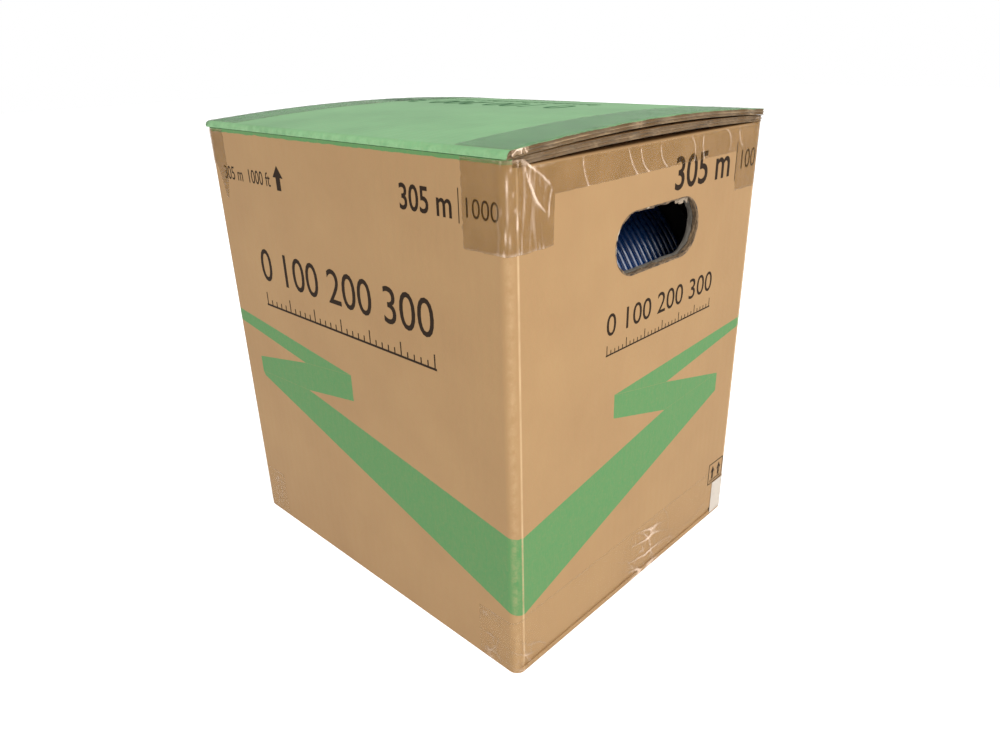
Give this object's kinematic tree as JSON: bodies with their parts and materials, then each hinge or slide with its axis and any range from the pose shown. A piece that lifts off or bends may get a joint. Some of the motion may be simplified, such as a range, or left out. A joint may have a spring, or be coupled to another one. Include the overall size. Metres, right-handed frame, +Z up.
{
  "type": "cable spool box",
  "caption": "Taped corrugated carton holding a full reel of blue network cable that turns on a fixed axle; the printed top flap opens and both ends have hand holes.",
  "frame": {"origin": "middle of the underside of the carton", "axes": "+Z up, -Y towards the wide printed front where the top flap is hinged, +X towards the end without the cable outlet"},
  "size_m": [0.3056, 0.2656, 0.3352],
  "materials": {
    "printed_kraft": "printed corrugated board",
    "green_kraft": "flood printed corrugated board",
    "plain_kraft": "unprinted corrugated board",
    "clear_tape": "clear packing tape",
    "label_paper": "matt paper label",
    "reel_plastic": "moulded, fine texture",
    "fitting_plastic": "moulded, satin",
    "axle_tube": "spiral wound paper tube",
    "zinc_steel": "zinc plated",
    "cable_jacket": "smooth jacket"
  },
  "bodies": {
    "carton": {"front_panel": "printed_kraft", "back_panel": "printed_kraft", "left_panel": "printed_kraft", "right_panel": "printed_kraft", "glue_tab": "plain_kraft", "top_under_flap": "plain_kraft", "top_end_flap_right": "plain_kraft", "top_end_flap_left": "plain_kraft", "bottom_flap": "plain_kraft", "bottom_under_flap": "plain_kraft", "bottom_end_flap_right": "plain_kraft", "bottom_end_flap_left": "plain_kraft", "end_liner_right": "plain_kraft", "end_liner_left": "plain_kraft", "reel_support_front": "plain_kraft", "reel_support_back": "plain_kraft", "axle_bushing_front": "fitting_plastic", "axle_bushing_back": "fitting_plastic", "axle": "axle_tube", "payout_ring": "fitting_plastic", "tape_side_right": "clear_tape", "tape_side_left": "clear_tape", "tape_back": "clear_tape", "tape_bottom_right": "clear_tape", "tape_bottom_left": "clear_tape", "tape_bottom_back": "clear_tape", "corner_label": "label_paper"},
    "opening_flap": {"top_flap": "green_kraft", "tape_top_right": "clear_tape", "tape_top_left": "clear_tape", "tape_top_back": "clear_tape"},
    "reel": {"reel_flange_front": "reel_plastic", "reel_flange_back": "reel_plastic", "reel_drum": "reel_plastic", "reel_tie_rods": "zinc_steel", "reel_tie_nuts": "zinc_steel", "cable_winding": "cable_jacket"}
  },
  "joints": [
    {"name": "top_flap_hinge", "type": "hinge", "parent": "carton", "child": "opening_flap", "pos_m": [0, -0.1325, 0.33], "axis": [1, 0, 0], "range_deg": [0, 250]},
    {"name": "reel_spin", "type": "hinge", "parent": "carton", "child": "reel", "pos_m": [0, 0, 0.16485], "axis": [0, 1, 0], "continuous": true}
  ]
}
